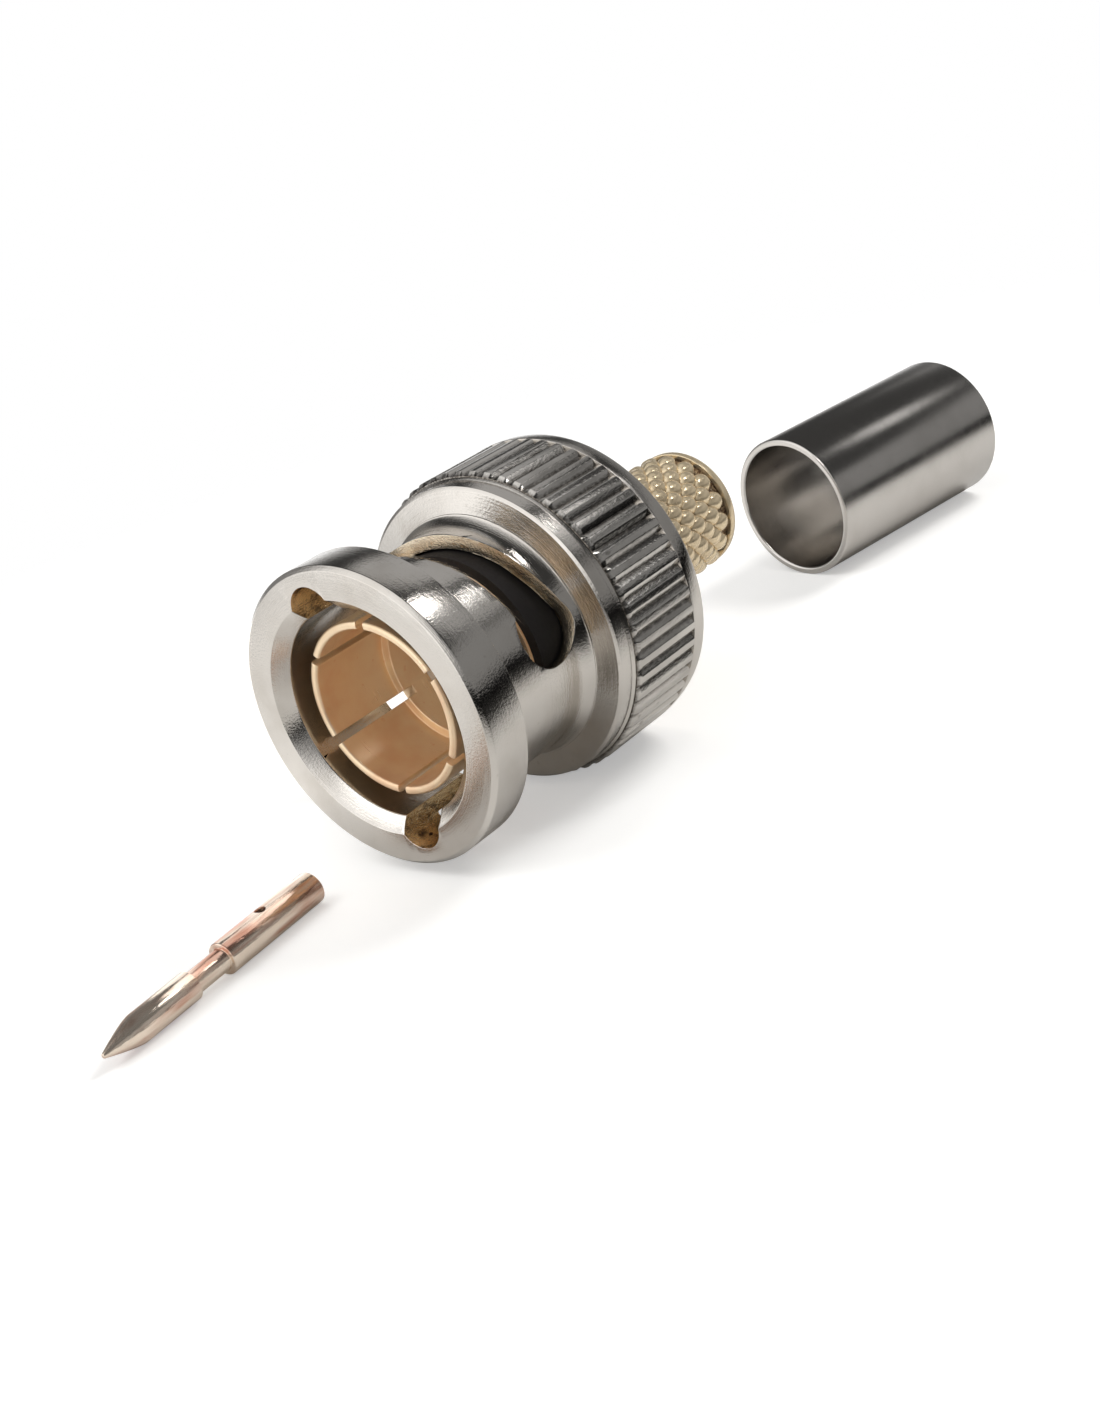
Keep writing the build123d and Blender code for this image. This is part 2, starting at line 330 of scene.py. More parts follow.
def mapped(tree, value, fromLow, fromHigh, toLow=0.0, toHigh=1.0, smooth=True):
    node = tree.nodes.new("ShaderNodeMapRange")
    node.interpolation_type = "SMOOTHSTEP" if smooth else "LINEAR"
    for socket, number in zip(node.inputs[1:5], (fromLow, fromHigh, toLow, toHigh)):
        if isinstance(number, (int, float)):
            socket.default_value = number
        else:
            tree.links.new(number, socket)
    tree.links.new(value, node.inputs[0])
    return node.outputs[0]


def noise(tree, vector, scale, detail=2.0, roughness=0.5):
    node = tree.nodes.new("ShaderNodeTexNoise")
    node.inputs["Scale"].default_value = scale
    node.inputs["Detail"].default_value = detail
    node.inputs["Roughness"].default_value = roughness
    tree.links.new(vector, node.inputs["Vector"])
    return node.outputs["Fac"]


texture = {
    "fineLines": 26000,
    "coarseLines": 3500,
    "grain": 9000,
    "clouds": 420.0,
    "specks": 2600,
    "aroundShare": 0.012,
    "stainLimits": (0.42, 0.72),
    "speckLimits": (0.70, 0.78),
    # Grain range that breaks up the painted valley shade
    "dirtLimits": (0.3, 0.65),
}


def turnedSurface():
    # Fine lathe lines that run round the Y axis, with tarnish and small specks, and painted shade that darkens
    # the valleys of a knurl
    tree, entry, end = nodeTree(
        "Turned Surface",
        "ShaderNodeTree",
        [
            ("Vector", "NodeSocketVector"),
            ("Metal", "NodeSocketColor", (0.7, 0.7, 0.7, 1)),
            ("Tarnish", "NodeSocketColor", (0.4, 0.35, 0.3, 1)),
            ("Tarnish Amount", "NodeSocketFloat", 0.2),
            ("Roughness", "NodeSocketFloat", 0.2),
            ("Line Depth", "NodeSocketFloat", 0.1),
            ("Grain Depth", "NodeSocketFloat", 0.1),
            ("Grain Stretch", "NodeSocketFloat", 1.0),
            ("Cloud Scale", "NodeSocketFloat", texture["clouds"]),
            ("Valley Radius", "NodeSocketFloat", -2.0),
            ("Peak Radius", "NodeSocketFloat", -1.0),
        ],
        [("Color", "NodeSocketColor"), ("Roughness", "NodeSocketFloat"), ("Normal", "NodeSocketVector")],
    )
    inputs = entry.outputs
    parts = tree.nodes.new("ShaderNodeSeparateXYZ")
    tree.links.new(inputs["Vector"], parts.inputs[0])
    x, y, z = parts.outputs
    squares = mathNode(tree, "ADD", mathNode(tree, "POWER", x, 2.0), mathNode(tree, "POWER", z, 2.0))
    radius = mathNode(tree, "SQRT", squares)
    # A turned point (radius, place) with little change round the axis gives lines round it
    across = mathNode(tree, "MULTIPLY", x, texture["aroundShare"])
    lines = vectorOf(tree, X=radius, Y=y, Z=across)
    fine = noise(tree, lines, texture["fineLines"], 3, 0.6)
    coarse = noise(tree, lines, texture["coarseLines"], 2, 0.5)
    stretched = vectorOf(tree, X=x, Y=mathNode(tree, "MULTIPLY", y, inputs["Grain Stretch"]), Z=z)
    grain = noise(tree, stretched, texture["grain"], 3, 0.6)
    cloud = noise(tree, stretched, texture["clouds"], 3, 0.55)
    tree.links.new(inputs["Cloud Scale"], cloud.node.inputs["Scale"])
    speck = noise(tree, stretched, texture["specks"], 1, 0.4)
    stain = mathNode(tree, "MULTIPLY", mapped(tree, cloud, *texture["stainLimits"]), inputs["Tarnish Amount"])
    spots = mathNode(tree, "MULTIPLY", mapped(tree, speck, *texture["speckLimits"]), inputs["Tarnish Amount"])
    # Painted shade: below Peak Radius the surface darkens towards the tarnish colour, fully at Valley Radius,
    # so knurl valleys look shaded; the grain breaks it up
    depth = mapped(tree, radius, inputs["Valley Radius"], inputs["Peak Radius"], 1.0, 0.0)
    paintedValleyShade = mathNode(tree, "MULTIPLY", depth, mapped(tree, grain, *texture["dirtLimits"], 0.45, 1.0))
    darkest = mathNode(tree, "MAXIMUM", mathNode(tree, "MAXIMUM", stain, spots), paintedValleyShade)
    colour = mixColour(tree, darkest, inputs["Metal"], inputs["Tarnish"])
    tree.links.new(colour, end.inputs["Color"])
    uneven = mapped(tree, mathNode(tree, "ADD", fine, cloud), 0.7, 1.3, 0.8, 1.3, False)
    tree.links.new(mathNode(tree, "MULTIPLY", inputs["Roughness"], uneven), end.inputs["Roughness"])
    lineBump = tree.nodes.new("ShaderNodeBump")
    lineBump.inputs["Distance"].default_value = bumpDistance
    tree.links.new(inputs["Line Depth"], lineBump.inputs["Strength"])
    tree.links.new(mathNode(tree, "ADD", fine, coarse), lineBump.inputs["Height"])
    grainBump = tree.nodes.new("ShaderNodeBump")
    grainBump.inputs["Distance"].default_value = bumpDistance
    tree.links.new(inputs["Grain Depth"], grainBump.inputs["Strength"])
    tree.links.new(grain, grainBump.inputs["Height"])
    tree.links.new(lineBump.outputs[0], grainBump.inputs["Normal"])
    tree.links.new(grainBump.outputs[0], end.inputs["Normal"])
    return tree


turnedGroup = turnedSurface()


def metalMaterial(name, look, centre=(0, 0, 0), heading=0):
    material = bpy.data.materials.new(name)
    material.use_nodes = True
    tree = material.node_tree
    shader = tree.nodes["Principled BSDF"]
    shader.inputs["Metallic"].default_value = look.get("metallic", 1.0)
    coordinates = tree.nodes.new("ShaderNodeTexCoord")
    place = tree.nodes.new("ShaderNodeMapping")
    place.vector_type = "TEXTURE"
    place.inputs["Location"].default_value = centre
    place.inputs["Rotation"].default_value = (0, 0, -radians(heading))
    surface = tree.nodes.new("ShaderNodeGroup")
    surface.node_tree = turnedGroup
    tree.links.new(coordinates.outputs["Object"], place.inputs[0])
    tree.links.new(place.outputs[0], surface.inputs["Vector"])
    for label, value in (
        ("Metal", (*look["metal"], 1)),
        ("Tarnish", (*look["tarnish"], 1)),
        ("Tarnish Amount", look["tarnishAmount"]),
        ("Roughness", look["roughness"]),
        ("Line Depth", look["lineDepth"]),
        ("Grain Depth", look["grainDepth"]),
        ("Grain Stretch", look.get("grainStretch", 1.0)),
        ("Cloud Scale", look.get("cloudScale", texture["clouds"])),
        ("Valley Radius", look.get("valley", -2000.0) * millimetre),
        ("Peak Radius", look.get("peak", -1000.0) * millimetre),
    ):
        surface.inputs[label].default_value = value
    tree.links.new(surface.outputs["Color"], shader.inputs["Base Color"])
    tree.links.new(surface.outputs["Roughness"], shader.inputs["Roughness"])
    tree.links.new(surface.outputs["Normal"], shader.inputs["Normal"])
    return material


def plainMaterial(name, look):
    # Plastic or rubber with a faint grain
    material = bpy.data.materials.new(name)
    material.use_nodes = True
    tree = material.node_tree
    shader = tree.nodes["Principled BSDF"]
    coordinates = tree.nodes.new("ShaderNodeTexCoord")
    cloud = noise(tree, coordinates.outputs["Object"], look["grainScale"], 3)
    colour = mixColour(tree, mapped(tree, cloud, 0.3, 0.7), (*look["dark"], 1), (*look["pale"], 1))
    tree.links.new(colour, shader.inputs["Base Color"])
    uneven = mapped(tree, cloud, 0.3, 0.7, look["roughness"], look["roughness"] + 0.12)
    tree.links.new(uneven, shader.inputs["Roughness"])
    bump = tree.nodes.new("ShaderNodeBump")
    bump.inputs["Strength"].default_value = look["grainDepth"]
    bump.inputs["Distance"].default_value = bumpDistance
    tree.links.new(cloud, bump.inputs["Height"])
    tree.links.new(bump.outputs[0], shader.inputs["Normal"])
    return material


looks = {
    "nickel": {
        "metal": (0.67, 0.635, 0.59),
        "tarnish": (0.42, 0.37, 0.31),
        "tarnishAmount": 0.25,
        "roughness": 0.065,
        "lineDepth": 0.3,
        "grainDepth": 0.4,
    },
    # Cam slot walls: a warm brass tint which also stands for a painted reflection of the gold contact inside
    "cutNickel": {
        "metal": (0.86, 0.76, 0.6),
        "tarnish": (0.4, 0.24, 0.1),
        "tarnishAmount": 0.6,
        "roughness": 0.16,
        "lineDepth": 0.4,
        "grainDepth": 2.2,
    },
    # Entry grooves: a gold tint painted as glints of reflected gold, with near-black patches painted as shade
    # in the groove
    "grooveGold": {
        "metal": (0.78, 0.58, 0.33),
        "tarnish": (0.06, 0.035, 0.022),
        "tarnishAmount": 1.0,
        "roughness": 0.14,
        "lineDepth": 0.0,
        "grainDepth": 2.5,
        "cloudScale": 1500,
    },
    # Nut knurl: the valleys, from 7.36 mm radius up to 7.5 mm, get painted shade in the dark tarnish colour
    "knurledNickel": {
        "metal": (0.67, 0.64, 0.6),
        "tarnish": (0.12, 0.105, 0.09),
        "tarnishAmount": 0.4,
        "roughness": 0.15,
        "lineDepth": 0.0,
        "grainDepth": 0.6,
        "grainStretch": 0.45,
        "valley": 7.36,
        "peak": 7.5,
    },
    "satinNickel": {
        "metal": (0.65, 0.62, 0.585),
        "tarnish": (0.4, 0.36, 0.32),
        "tarnishAmount": 0.15,
        "roughness": 0.2,
        "lineDepth": 0.06,
        "grainDepth": 0.15,
    },
    "gold": {
        "metal": (0.97, 0.76, 0.52),
        "metallic": 0.75,
        "tarnish": (0.75, 0.35, 0.17),
        "tarnishAmount": 0.35,
        "roughness": 0.32,
        "lineDepth": 0.15,
        "grainDepth": 0.15,
    },
    "roseGold": {
        "metal": (1.0, 0.86, 0.72),
        "metallic": 0.85,
        "tarnish": (0.5, 0.17, 0.09),
        "tarnishAmount": 0.8,
        "roughness": 0.09,
        "lineDepth": 0.1,
        "grainDepth": 0.5,
        "grainStretch": 0.12,
        "cloudScale": 1600,
    },
    # Stem diamonds: the valleys between them, from 2.79 mm radius up to 2.93 mm, get painted shade in the dark
    # tarnish colour
    "knurledGold": {
        "metal": (0.9, 0.74, 0.5),
        "metallic": 0.7,
        "tarnish": (0.1, 0.045, 0.025),
        "tarnishAmount": 0.2,
        "roughness": 0.22,
        "lineDepth": 0.0,
        "grainDepth": 0.3,
        "valley": 2.79,
        "peak": 2.93,
    },
    "springSteel": {
        "metal": (0.56, 0.55, 0.53),
        "tarnish": (0.3, 0.28, 0.26),
        "tarnishAmount": 0.2,
        "roughness": 0.25,
        "lineDepth": 0.1,
        "grainDepth": 0.1,
    },
    "insulator": {
        "pale": (0.86, 0.85, 0.81),
        "dark": (0.78, 0.76, 0.71),
        "roughness": 0.45,
        "grainScale": 3000,
        "grainDepth": 0.2,
    },
    "rubber": {
        "pale": (0.011, 0.008, 0.008),
        "dark": (0.006, 0.004, 0.004),
        "roughness": 0.6,
        "grainScale": 6000,
        "grainDepth": 0.3,
    },
}


# The coupling nut

nut = {
    "segments": 240,
    "bore": 4.93,
    "mouthBevel": 0.61,
    "flange": 7.05,
    "flangeLength": 2.2,
    "barrel": 5.6,
    "barrelEnd": 7.6,
    "flareEnd": 8.45,
    "flareRise": 0.38,
    "collarFront": 8.62,
    "collarFace": 7.06,
    "collarBand": 8.71,
    "collar": 7.21,
    "collarRear": 9.42,
    "knurlFoot": 7.33,
    "knurlFront": 9.55,
    "knurlRear": 13.85,
    "knurlTip": 7.55,
    "knurlDepth": 0.18,
    "knurlCore": 7.07,
    "knurlLand": 0.35,
    "teeth": 55,
    "firstTooth": 4.57,
    "rimEnd": 7.43,
    "rimBevel": 0.25,
    "mouthRound": 0.12,
    "faceRound": 0.05,
    "flangeBevel": 0.2,
    "flangeRound": 0.08,
    "flangeRearRound": 0.03,
    "barrelRound": 0.1,
    "barrelLoops": 10,
    "collarRound": 0.03,
    "rearRound": 0.08,
    "edgeRound": 0.06,
    "length": 15.0,
    "recess": 5.0,
    "lipFront": 11.78,
    "lipRear": 13.63,
    "lipBore": 3.92,
    "cutterInner": 4.0,
    "cutterOuter": 6.45,
    "slotEntry": -13.0,
    "slotTurn": 89.0,
    "slotStart": 5.6,
    "slotRise": 1.1,
    "slotWidth": 2.45,
    "seatRadius": 1.62,
    "seatPlace": 6.51,
    "reliefTurn": 30.0,
    "entrySteps": 10,
    "rampSteps": 36,
    "seatSteps": 30,
    "leastReach": 0.02,
    "grooveRadius": 1.22,
    "grooveDepth": 1.32,
    "grooveStart": -0.5,
    "grooveSides": 40,
    "edge": 0.035,
}


def curved(start, end, steps):
    # Inner points of a curve that leaves a cylinder smoothly, from (radius, place) to (radius, place)
    points = []
    for step in range(1, steps):
        share = step / steps
        radius = start[0] + (end[0] - start[0]) * share**2
        points.append((radius, start[1] + (end[1] - start[1]) * share, 0))
    return points


def nutOutline():
    n = nut
    flare = n["barrel"] + n["flareRise"]
    rimEnd = n["length"] - n["rimBevel"]
    return roundedCorners(
        [
            (n["bore"], n["lipFront"], 0),
            (n["bore"], n["mouthBevel"], n["mouthRound"]),
            (n["bore"] + n["mouthBevel"], 0, n["faceRound"]),
            (n["flange"] - n["flangeBevel"], 0, n["faceRound"]),
            (n["flange"], n["flangeBevel"], n["flangeRound"]),
            (n["flange"], n["flangeLength"], n["flangeRearRound"]),
            (n["barrel"], n["flangeLength"], n["barrelRound"]),
            *[(n["barrel"], n["flangeLength"] + 0.5 * (loop + 1), 0) for loop in range(n["barrelLoops"])],
            (n["barrel"], n["barrelEnd"], 0),
            *curved((n["barrel"], n["barrelEnd"]), (flare, n["flareEnd"]), 8),
            (flare - 0.02, n["flareEnd"] - 0.02, 0),
            (flare + 0.015, n["flareEnd"] - 0.025, 0.012),
            (flare + 0.03, n["flareEnd"] + 0.02, 0.01),
            (n["collarFace"], n["collarFront"], n["collarRound"]),
            (n["collar"], n["collarBand"], n["collarRound"]),
            (n["collar"], n["collarRear"], 0.02),
            (n["knurlFoot"], n["knurlFront"], 0),
            (n["knurlCore"], n["knurlFront"], 0),
            (n["knurlCore"], n["knurlRear"], 0),
            (n["knurlTip"], n["knurlRear"], 0.02),
            *curved((n["knurlTip"], n["knurlRear"]), (n["rimEnd"], rimEnd), 6),
            (n["rimEnd"], rimEnd, n["edgeRound"]),
            (n["rimEnd"] - n["rimBevel"], n["length"], n["rearRound"]),
            (n["recess"], n["length"], n["rearRound"]),
            (n["recess"], n["lipRear"], n["rearRound"]),
            (n["lipBore"], n["lipRear"], n["edgeRound"]),
            (n["lipBore"], n["lipFront"], 0),
        ]
    )


def slotColumns():
    # The slot's front and rear edges from one end to the other, as (centre angle, side step, front, rear)
    n = nut
    half, seat = n["slotWidth"] / 2, n["seatRadius"]
    entry, end = n["slotEntry"], n["slotEntry"] + n["slotTurn"]
    reliefStart = end - n["reliefTurn"]
    reliefMiddle = n["slotStart"] + n["slotRise"] * (n["slotTurn"] - n["reliefTurn"]) / n["slotTurn"]
    reliefRise = n["seatPlace"] + seat - half - reliefMiddle

    def ramp(angle):
        middle = n["slotStart"] + n["slotRise"] * (angle - entry) / n["slotTurn"]
        rear = middle
        if angle > reliefStart:
            rear = reliefMiddle + reliefRise * (angle - reliefStart) / n["reliefTurn"]
        return middle - half, rear + half

    columns = []
    leastSquare = n["leastReach"] ** 2
    for step in range(n["entrySteps"]):
        side = -half * cos(pi / 2 * step / n["entrySteps"])
        reach = sqrt(max(half**2 - side**2, leastSquare))
        columns.append((entry, side, n["slotStart"] - reach, n["slotStart"] + reach))
    seatAngle = degrees(asin(seat / n["barrel"]))
    for step in range(n["rampSteps"] + 1):
        angle = entry + (end - seatAngle - 0.5 - entry) * step / n["rampSteps"]
        columns.append((angle, 0, *ramp(angle)))
    for step in range(n["seatSteps"] + 1):
        side = -seat * cos(pi * step / n["seatSteps"])
        reach = sqrt(max(seat**2 - side**2, leastSquare))
        front, rear = n["seatPlace"] - reach, n["seatPlace"] + reach
        if side < 0:
            rampFront, rampRear = ramp(end + degrees(asin(side / n["barrel"])))
            front, rear = min(front, rampFront), max(rear, rampRear)
        columns.append((end, side, front, rear))
    return columns


def slotCutter(turn, material):
    inner, outer = nut["cutterInner"], nut["cutterOuter"]
    vertices = []
    columns = slotColumns()
    for centre, side, front, rear in columns:
        for radius, place in ((inner, front), (inner, rear), (outer, rear), (outer, front)):
            angle = radians(centre + turn) + asin(side / radius)
            vertices.append((radius * sin(angle), place, radius * cos(angle)))
    faces = bandFaces(len(columns), 4, looped=False)
    faces += [(0, 1, 2, 3), tuple(range(len(vertices) - 4, len(vertices)))]
    return outwardFaces(meshObject("slot cutter", vertices, faces, material), fineWeld)


def grooveCutter(turn, material):
    n = nut
    middle = n["bore"] + n["grooveDepth"] - n["grooveRadius"]
    angle = radians(n["slotEntry"] + turn)
    rims = ([], [])
    for rim, place in zip(rims, (n["grooveStart"], n["slotStart"])):
        for side in range(n["grooveSides"]):
            turnAt = 2 * pi * side / n["grooveSides"]
            out, across = middle + n["grooveRadius"] * cos(turnAt), n["grooveRadius"] * sin(turnAt)
            rim.append((out * sin(angle) + across * cos(angle), place, out * cos(angle) - across * sin(angle)))
    return roundTube("groove cutter", rims, material)


def knurlTooth():
    # One tooth of the straight knurl between two valley bottoms, as a closed band of stations
    n = nut
    pitch = 2 * pi / n["teeth"]
    land = n["knurlLand"] / 2
    shares = (-0.5, -0.49, -0.47, -0.4, -0.3, -land - 0.025, -land, -land + 0.03, -land / 2, 0.0)
    shares += tuple(-share for share in shares[-2::-1])

    def height(share):
        # Straight flanks, a soft shoulder and a land that is worn a little round
        away = abs(share)
        flank = (0.495 - away) / (0.495 - land)
        crown = 1 - 0.05 * (away / land) ** 2
        return max(min(flank * 0.98, crown), 0)

    front, rear = n["knurlFront"], n["knurlRear"]
    stations = [(front, None), (front, 1.0), (front + 0.2, 0.04), (front + 0.28, 0.0)]
    stations += [(rear - 0.1, 0.0), (rear, 0.05), (rear, None)]
    vertices = []
    for place, worn in stations:
        for share in shares:
            radius = n["knurlCore"]
            if worn is not None:
                radius = n["knurlTip"] - n["knurlDepth"] * (1 - min(height(share), 1 - worn))
            angle = share * pitch
            vertices.append((radius * sin(angle), place, radius * cos(angle)))
    return meshObject("knurl tooth", vertices, bandFaces(len(stations), len(shares), wrapped=False))


def buildNut(surface, cutSurfaceWithPaintedReflection, grooveSurfaceWithPaintedGlints, knurlSurfaceWithPaintedShade):
    shell = spun("nut shell", nutOutline(), nut["segments"], surface)
    # Slot walls get the warm tint with its painted gold reflection, grooves the painted glints and shade
    for turn in (0, 180):
        cut(shell, slotCutter(turn, cutSurfaceWithPaintedReflection))
        cut(shell, grooveCutter(turn, grooveSurfaceWithPaintedGlints))
    outwardFaces(shell, looseWeld)
    softened(shell, nut["edge"])
    print("cam slots cut")
    ring = repeated(
        knurlTooth(), ringOfCopies, Count=nut["teeth"], FirstAngle=nut["firstTooth"], Material=knurlSurfaceWithPaintedShade
    )
    outwardFaces(ring, looseWeld)
    return finished(joined("couplingNut", shell, ring), "nut", ["coupling_nut"])


# The sprung contact sleeve

sleeve = {
    "segments": 180,
    "radius": 4.13,
    "wall": 0.4,
    "front": 1.0,
    "step": 5.24,
    "stepBore": 3.3,
    "baseFront": 6.45,
    "base": 4.3,
    "rear": 9.35,
    "lip": 0.14,
    "fingers": 6,
    "slotWidth": 0.42,
    "slotLength": 4.8,
    "firstAngle": 4.5,
    "edge": 0.03,
}


def buildSleeve(material):
    s = sleeve
    bore = s["radius"] - s["wall"]
    outline = roundedCorners(
        [
            (bore, s["front"], s["lip"]),
            (s["radius"], s["front"], s["lip"]),
            (s["radius"], s["baseFront"], 0.05),
            (s["base"], s["baseFront"], 0.04),
            (s["base"], s["rear"], 0.03),
            (s["stepBore"], s["rear"], 0.03),
            (s["stepBore"], s["step"], 0.06),
            (bore, s["step"], 0.05),
        ],
        4,
    )
    tube = spun("contactSleeve", outline, s["segments"], material)
    half = s["slotWidth"] / 2
    corners = [
        (x, y, z)
        for x in (-half, half)
        for y in (s["front"] - 0.5, s["front"] + s["slotLength"])
        for z in (bore - 0.8, s["radius"] + 0.5)
    ]
    box = meshObject(
        "slot", corners, [(0, 1, 3, 2), (4, 6, 7, 5), (0, 4, 5, 1), (2, 3, 7, 6), (0, 2, 6, 4), (1, 5, 7, 3)]
    )
    slots = repeated(
        outwardFaces(box), ringOfCopies, Count=s["fingers"], FirstAngle=s["firstAngle"], Material=material
    )
    cut(tube, slots)
    outwardFaces(tube, looseWeld)
    softened(tube, s["edge"])
    return finished(tube, "plug_body", ["outer_contact"])


# The crimp body and its diamond knurl

stem = {
    "segments": 128,
    "flangeFront": 8.2,
    "flangeRear": 9.4,
    "flange": 4.75,
    "contactSeat": 4.31,
    "contactRear": 9.35,
    "insulatorBore": 3.3,
    "insulatorRear": 11.5,
    "neck": 3.86,
    "shoulder": 14.2,
    "end": 24.47,
    "plainEnd": 0.55,
    "endRadius": 3.07,
    "endRound": 0.3,
    "cableBore": 2.4,
    "peak": 3.15,
    "depth": 0.32,
    "sunk": 0.05,
    "diamondRings": (0.0, 0.35, 0.6, 0.8, 0.93, 1.0),
    "diamondSides": 12,
    "coreDrop": 0.04,
    "around": 16,
    "rows": 15,
    "firstAngle": -3.6,
    "ringGroove": 0.35,
    "ringFront": 13.66,
    "ringRear": 14.1,
}


def diamond():
    # One cushion-shaped diamond on top of the stem
    s = stem
    low = s["peak"] - s["depth"]
    start, end = s["shoulder"], s["end"] - s["plainEnd"]
    rowLength = (end - start) / (s["rows"] + 1)
    halfAngle = pi / s["around"]
    rings, sides = s["diamondRings"], s["diamondSides"]
    vertices, faces = [], []
    for ring in rings:
        count = sides if ring else 1
        for side in range(count):
            turn = 2 * pi * side / sides
            u, v = cos(turn), sin(turn)
            # From a circle in the middle to the diamond at the edge
            square = 1 / (abs(u) + abs(v))
            reach = ring * (1 + (square - 1) * ring**0.6)
            u, v = u * reach, v * reach
            along, crossed = abs(u + v), abs(u - v)
            height = 1 - 0.3 * max(along, crossed) ** 3 - 0.7 * (along * crossed) ** 1.3
            radius = low - s["sunk"] + (s["depth"] + s["sunk"]) * max(height, 0)
            angle = u * halfAngle
            vertices.append((radius * sin(angle), start + rowLength * (1 + v), radius * cos(angle)))
    for side in range(sides):
        faces.append((0, 1 + side, 1 + (side + 1) % sides))
    for ring in range(len(rings) - 2):
        here, there = 1 + ring * sides, 1 + (ring + 1) * sides
        for side in range(sides):
            after = (side + 1) % sides
            faces.append((here + side, there + side, there + after, here + after))
    return meshObject("diamond", vertices, faces)


def buildStem(material):
    s = stem
    low = s["peak"] - s["depth"]
    knurlEnd = s["end"] - s["plainEnd"]
    outline = roundedCorners(
        [
            (s["contactSeat"], s["flangeFront"], 0),
            (s["flange"], s["flangeFront"], 0.06),
            (s["flange"], s["flangeRear"], 0.06),
            (s["neck"], s["flangeRear"], 0),
            (s["neck"], s["ringFront"], 0),
            (s["neck"] - s["ringGroove"], s["ringFront"], 0),
            (s["neck"] - s["ringGroove"], s["ringRear"], 0),
            (s["neck"], s["ringRear"], 0),
            (s["neck"], s["shoulder"], 0),
            (low - s["coreDrop"], s["shoulder"], 0),
            (low - s["coreDrop"], knurlEnd, 0),
            (s["endRadius"], knurlEnd, 0.06),
            (s["endRadius"], s["end"], s["endRound"]),
            (s["cableBore"], s["end"], 0.1),
            (s["cableBore"], s["insulatorRear"], 0),
            (s["insulatorBore"], s["insulatorRear"], 0),
            (s["insulatorBore"], s["contactRear"], 0),
            (s["contactSeat"], s["contactRear"], 0),
        ],
        5,
    )
    tube = spun("stem", outline, s["segments"], material)
    rowLength = (knurlEnd - s["shoulder"]) / (s["rows"] + 1)
    diamonds = repeated(
        diamond(),
        staggeredRows,
        Around=s["around"],
        Rows=s["rows"],
        RowLength=rowLength,
        FirstAngle=s["firstAngle"] + 180 / s["around"],
        Material=material,
    )
    return finished(joined("crimpBody", tube, diamonds), "plug_body", ["crimp_body"], 60)


# The loose centre pin

pin = {
    "segments": 96,
    "noseSteps": 12,
    "tipLength": 1.9,
    "tipRadius": 0.1,
    "tipCurve": 1.25,
    "front": 0.675,
    "frontLength": 5.05,
    "neck": 0.52,
    "neckLength": 1.95,
    "shank": 0.76,
    "length": 12.9,
    "wireBore": 0.5,
    "wireDepth": 4.3,
    "sight": 0.26,
    "sightPlace": 9.75,
    "sightHeights": (0.1, 1.5),
    "sightSides": 32,
    "axisRadius": 0.002,
    "edge": 0.02,
    "place": (-2.17, -15.94, surfaceHeight + 0.76),
    "heading": -5.04,
}


def buildPin(material):
    p = pin
    neckEnd = p["frontLength"] + p["neckLength"]
    nose = []
    for step in range(1, p["noseSteps"] + 1):
        share = step / p["noseSteps"]
        fall = (p["tipRadius"] - p["front"]) * (1 - share) ** p["tipCurve"]
        nose.append((p["front"] + fall, p["tipLength"] * share, 0))
    outline = roundedCorners(
        [
            (p["axisRadius"], 0, 0),
            (p["tipRadius"], 0, 0.04),
            *nose,
            (p["front"], p["frontLength"], 0.05),
            (p["neck"], p["frontLength"], 0.05),
            (p["neck"], neckEnd, 0.04),
            (p["shank"], neckEnd, 0.07),
            (p["shank"], p["length"], 0.08),
            (p["wireBore"], p["length"], 0.04),
            (p["wireBore"], p["length"] - p["wireDepth"], 0),
            (p["axisRadius"], p["length"] - p["wireDepth"], 0),
        ]
    )
    made = spun("centrePin", outline, p["segments"], material)
    rims = ([], [])
    for rim, height in zip(rims, p["sightHeights"]):
        for side in range(p["sightSides"]):
            turn = 2 * pi * side / p["sightSides"]
            rim.append((p["sight"] * cos(turn), p["sightPlace"] + p["sight"] * sin(turn), height))
    cut(made, roundTube("sight hole", rims))
    outwardFaces(made)
    softened(made, p["edge"], 50)
    return finished(laid(made, p), "plug_body", ["centre_pin"])


# The loose crimp ferrule

ferrule = {
    "segments": 192,
    "radius": 3.95,
    "wall": 0.4,
    "length": 13.0,
    "rimRound": 0.13,
    "place": (-0.08, 33.55, surfaceHeight + 3.95),
    "heading": 10.9,
}


def buildFerrule(material):
    f = ferrule
    bore = f["radius"] - f["wall"]
    outline = roundedCorners(
        [
            (bore, 0, f["rimRound"]),
            (f["radius"], 0, f["rimRound"]),
            (f["radius"], f["length"], f["rimRound"]),
            (bore, f["length"], f["rimRound"]),
        ],
        5,
    )
    made = spun("crimpFerrule", outline, f["segments"], material)
    return finished(laid(made, f), "plug_body", ["crimp_ferrule"])


# The two wave washers, which on the real plug flatten when the nut floats forward; they are drawn unflattened

washers = {
    "inner": 3.96,
    "outer": 4.83,
    "height": 0.9,
    "thickness": 0.2,
    "waves": 3,
    "steps": 120,
    "seat": 9.42,
    "gap": 0.02,
    "keep": 0.6,
}


def buildWaveWasher(name, node, start, turn, material):
    w = washers
    swing = (w["height"] - w["thickness"]) / 2
    vertices = []
    for step in range(w["steps"]):
        angle = 360 * step / w["steps"]
        low = start + swing + swing * cos(radians(w["waves"] * (angle - turn)))
        high = low + w["thickness"]
        for radius, place in ((w["inner"], low), (w["outer"], low), (w["outer"], high), (w["inner"], high)):
            vertices.append((radius * sin(radians(angle)), place, radius * cos(radians(angle))))
    ring = meshObject(name, vertices, bandFaces(w["steps"], 4), material)
    made = finished(outwardFaces(ring), "plug_body", [node])
    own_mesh(made)


# Materials and pieces


def inMetres(place):
    return tuple(value * millimetre for value in place)


